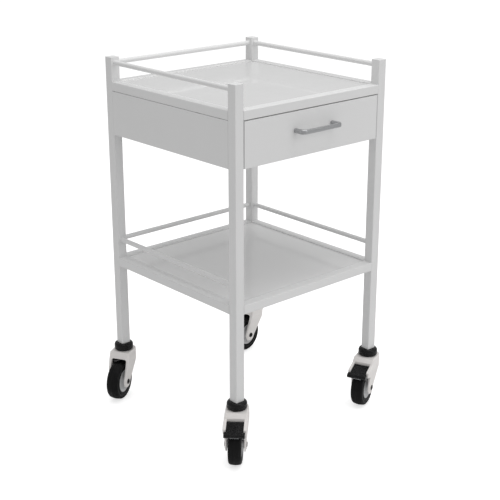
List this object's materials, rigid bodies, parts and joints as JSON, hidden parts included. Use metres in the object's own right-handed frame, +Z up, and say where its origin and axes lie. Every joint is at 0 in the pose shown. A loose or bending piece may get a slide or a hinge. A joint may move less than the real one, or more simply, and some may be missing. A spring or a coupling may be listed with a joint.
{
  "type": "rolling salon trolley",
  "caption": "Square-tube rolling trolley with guarded upper and lower shelves, a drawer under the top on telescopic slides, and swivel casters, some with brake pedals.",
  "frame": {"origin": "on the floor, at the centre of the square of legs", "axes": "+Z up; -Y is the drawer's front; +X is to the right seen from the front"},
  "size_m": [0.5661, 0.5642, 0.9],
  "materials": {
    "white_coat": "satin powder coat",
    "zinc_steel": "zinc plated",
    "satin_metal": "satin",
    "black_plastic": "moulded, semi-gloss",
    "fork_plastic": "moulded, satin",
    "tyre_rubber": "smooth crowned tread",
    "hub_plastic": "moulded, satin"
  },
  "bodies": {
    "frame": {"leg_front_left": "white_coat", "leg_front_right": "white_coat", "leg_back_left": "white_coat", "leg_back_right": "white_coat", "leg_caps": "white_coat", "upper_tube_front": "white_coat", "upper_tube_back": "white_coat", "upper_tube_left": "white_coat", "upper_tube_right": "white_coat", "upper_rail_left": "white_coat", "upper_rail_back": "white_coat", "upper_rail_right": "white_coat", "lower_tube_front": "white_coat", "lower_tube_back": "white_coat", "lower_tube_left": "white_coat", "lower_tube_right": "white_coat", "lower_rail_left": "white_coat", "lower_rail_back": "white_coat", "lower_rail_right": "white_coat", "top_shelf": "white_coat", "lower_shelf": "white_coat", "side_panel_left": "white_coat", "side_panel_right": "white_coat", "back_panel": "white_coat", "slide_fixed_left": "zinc_steel", "slide_fixed_right": "zinc_steel", "slide_screws": "zinc_steel", "leg_inserts": "black_plastic", "caster_stems": "zinc_steel", "caster_collars": "black_plastic", "swivel_bearings": "zinc_steel"},
    "drawer": {"drawer_front": "white_coat", "drawer_base": "white_coat", "drawer_walls": "white_coat", "drawer_handle": "satin_metal", "drawer_screws": "zinc_steel", "slide_drawer_left": "zinc_steel", "slide_drawer_right": "zinc_steel"},
    "slide_middle": {"slide_middle_left": "zinc_steel", "slide_middle_right": "zinc_steel"},
    "caster_front_left": {"fork_front_left": "fork_plastic", "axle_front_left": "black_plastic"},
    "wheel_front_left": {"tyre_front_left": "tyre_rubber", "wheel_core_front_left": "hub_plastic"},
    "pedal_front_left": {"brake_pedal_front_left": "black_plastic", "brake_plate_front_left": "zinc_steel"},
    "caster_front_right": {"fork_front_right": "fork_plastic", "axle_front_right": "black_plastic"},
    "wheel_front_right": {"tyre_front_right": "tyre_rubber", "wheel_core_front_right": "hub_plastic"},
    "pedal_front_right": {"brake_pedal_front_right": "black_plastic", "brake_plate_front_right": "zinc_steel"},
    "caster_back_left": {"fork_back_left": "fork_plastic", "axle_back_left": "black_plastic"},
    "wheel_back_left": {"tyre_back_left": "tyre_rubber", "wheel_core_back_left": "hub_plastic"},
    "caster_back_right": {"fork_back_right": "fork_plastic", "axle_back_right": "black_plastic"},
    "wheel_back_right": {"tyre_back_right": "tyre_rubber", "wheel_core_back_right": "hub_plastic"}
  },
  "joints": [
    {"name": "drawer_slide", "type": "slide", "parent": "frame", "child": "drawer", "axis": [0, -1, 0], "range_m": [0, 0.38]},
    {"name": "middle_slide", "type": "slide", "parent": "frame", "child": "slide_middle", "axis": [0, -1, 0], "range_m": [0, 0.19]},
    {"name": "swivel_front_left", "type": "hinge", "parent": "frame", "child": "caster_front_left", "pos_m": [-0.2275, -0.2275, 0.127], "axis": [0, 0, 1], "continuous": true},
    {"name": "spin_front_left", "type": "hinge", "parent": "caster_front_left", "child": "wheel_front_left", "pos_m": [-0.25268, -0.25181, 0.05], "axis": [0.6947, -0.7193, 0], "continuous": true},
    {"name": "brake_front_left", "type": "hinge", "parent": "caster_front_left", "child": "pedal_front_left", "pos_m": [-0.25771, -0.25668, 0.1075], "axis": [0.6947, -0.7193, 0], "range_deg": [0, 9]},
    {"name": "swivel_front_right", "type": "hinge", "parent": "frame", "child": "caster_front_right", "pos_m": [0.2275, -0.2275, 0.127], "axis": [0, 0, 1], "continuous": true},
    {"name": "spin_front_right", "type": "hinge", "parent": "caster_front_right", "child": "wheel_front_right", "pos_m": [0.19528, -0.24118, 0.05], "axis": [0.3907, -0.9205, 0], "continuous": true},
    {"name": "brake_front_right", "type": "hinge", "parent": "caster_front_right", "child": "pedal_front_right", "pos_m": [0.18884, -0.24391, 0.1075], "axis": [0.3907, -0.9205, 0], "range_deg": [0, 9]},
    {"name": "swivel_back_left", "type": "hinge", "parent": "frame", "child": "caster_back_left", "pos_m": [-0.2275, 0.2275, 0.127], "axis": [0, 0, 1], "continuous": true},
    {"name": "spin_back_left", "type": "hinge", "parent": "caster_back_left", "child": "wheel_back_left", "pos_m": [-0.25811, 0.21053, 0.05], "axis": [0.4848, -0.8746, 0], "continuous": true},
    {"name": "swivel_back_right", "type": "hinge", "parent": "frame", "child": "caster_back_right", "pos_m": [0.2275, 0.2275, 0.127], "axis": [0, 0, 1], "continuous": true},
    {"name": "spin_back_right", "type": "hinge", "parent": "caster_back_right", "child": "wheel_back_right", "pos_m": [0.19284, 0.22263, 0.05], "axis": [0.1392, -0.9903, 0], "continuous": true}
  ],
  "couplings": [
    {"joint": "middle_slide", "follows": "drawer_slide", "ratio": 0.5}
  ]
}
